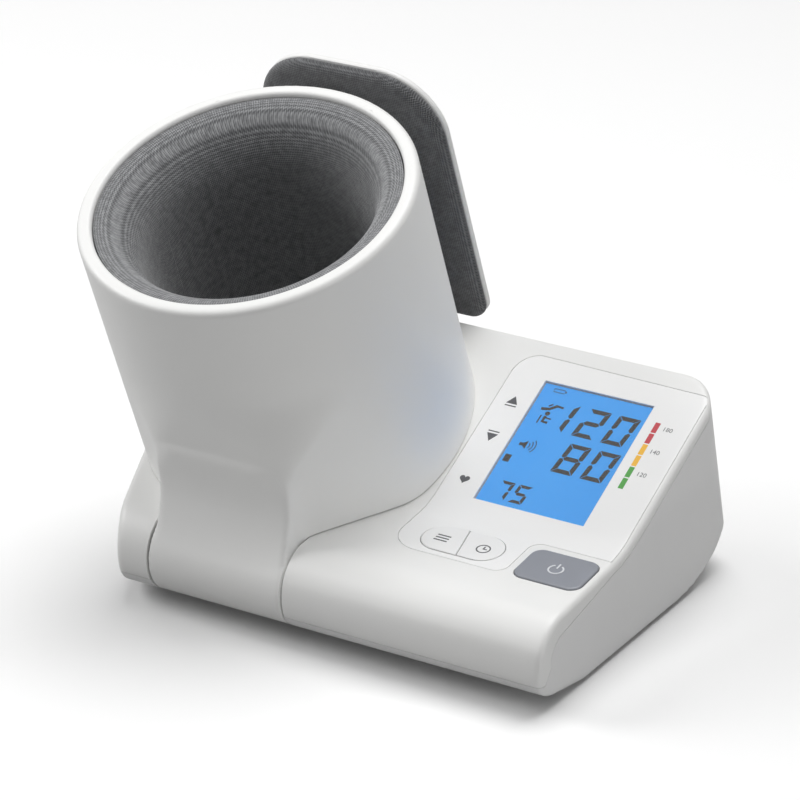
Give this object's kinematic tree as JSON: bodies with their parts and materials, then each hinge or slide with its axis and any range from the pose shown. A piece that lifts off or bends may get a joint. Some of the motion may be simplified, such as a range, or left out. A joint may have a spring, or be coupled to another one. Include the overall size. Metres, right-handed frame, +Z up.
{
  "type": "arm-in blood pressure monitor",
  "caption": "Arm-in blood pressure monitor: a tilting arm tube with a fabric cuff, a sloping console with display and keys, and an elbow rest that folds out behind",
  "frame": {"origin": "on the table, under the middle of the whole monitor", "axes": "+X to the right of the person who reads the display, +Y to the back, +Z up"},
  "size_m": [0.275, 0.2256, 0.2478],
  "materials": {
    "cover_white": "satin moulded",
    "housing_white": "fine texture",
    "panel_white": "printed film",
    "key_white": "satin moulded",
    "key_grey": "satin moulded",
    "clear_window": "clear",
    "display_blue": "lit",
    "light_guide": "clear",
    "inner_plastic": "moulded",
    "dark_plastic": "moulded",
    "board_green": "lacquered",
    "steel": "plated",
    "cell_jacket": "printed",
    "rubber_grey": "matt",
    "rubber_dark": "matt",
    "hose": "soft",
    "bush": "bearing grade",
    "sleeve_rubber": "soft",
    "cuff_fabric": "fine knitted mesh",
    "pad_fabric": "fine knitted mesh over foam"
  },
  "bodies": {
    "base": {"lower_housing": "housing_white", "upper_cover": "cover_white", "display_panel": "panel_white", "display_window": "clear_window", "lcd_cell": "display_blue", "lcd_frame": "inner_plastic", "light_guide": "light_guide", "main_board": "board_green", "board_screws": "steel", "pressure_sensor": "dark_plastic", "key_mat": "rubber_grey", "key_board": "board_green", "air_pump_motor": "steel", "air_pump_head": "dark_plastic", "pump_saddle": "rubber_grey", "release_valve": "steel", "air_block": "inner_plastic", "pump_hose": "hose", "valve_hose": "hose", "sensor_hose": "hose", "supply_hose": "hose", "loudspeaker": "dark_plastic", "battery_box": "dark_plastic", "battery_cells": "cell_jacket", "battery_springs": "steel", "battery_plates": "steel", "power_socket": "dark_plastic", "hinge_brackets": "steel", "hinge_stub_left": "steel", "hinge_stub_right": "steel", "friction_washers": "steel", "rubber_feet": "rubber_dark", "housing_screws": "steel", "elbow_rest_pin": "steel", "elbow_rest_clips": "steel"},
    "tube": {"arm_tube": "cover_white", "hinge_bushes": "bush", "cuff_drum": "inner_plastic", "air_sleeve": "sleeve_rubber", "cuff_liner": "cuff_fabric", "end_ring": "inner_plastic", "end_ring_screws": "steel", "cuff_hose": "hose"},
    "elbow_rest": {"elbow_rest_shell": "cover_white", "elbow_cushion": "pad_fabric"},
    "start_key_body": {"start_key": "key_grey"},
    "memory_key_body": {"memory_key": "key_white"},
    "set_key_body": {"set_key": "key_white"},
    "battery_door_body": {"battery_door": "housing_white"}
  },
  "joints": [
    {"name": "tube_tilt", "type": "hinge", "parent": "base", "child": "tube", "pos_m": [0, -0.06482, 0.0278], "axis": [1, 0, 0], "range_deg": [0, 35]},
    {"name": "elbow_rest_fold", "type": "hinge", "parent": "base", "child": "elbow_rest", "pos_m": [-0.054, 0.10348, 0.09855], "axis": [-1, 0, 0], "range_deg": [0, 112]},
    {"name": "start_key_press", "type": "slide", "parent": "base", "child": "start_key_body", "axis": [0, 0.1045, -0.9945], "range_m": [0, 0.0008], "stiffness_N_per_m": 600, "springref_m": -0.0005},
    {"name": "memory_key_press", "type": "slide", "parent": "base", "child": "memory_key_body", "axis": [0, 0.1045, -0.9945], "range_m": [0, 0.0008], "stiffness_N_per_m": 600, "springref_m": -0.0005},
    {"name": "set_key_press", "type": "slide", "parent": "base", "child": "set_key_body", "axis": [0, 0.1045, -0.9945], "range_m": [0, 0.0008], "stiffness_N_per_m": 600, "springref_m": -0.0005},
    {"name": "battery_door_swing", "type": "hinge", "parent": "base", "child": "battery_door_body", "pos_m": [0.0805, 0.00387, 0.003], "axis": [-1, 0, 0], "range_deg": [0, 90]}
  ]
}
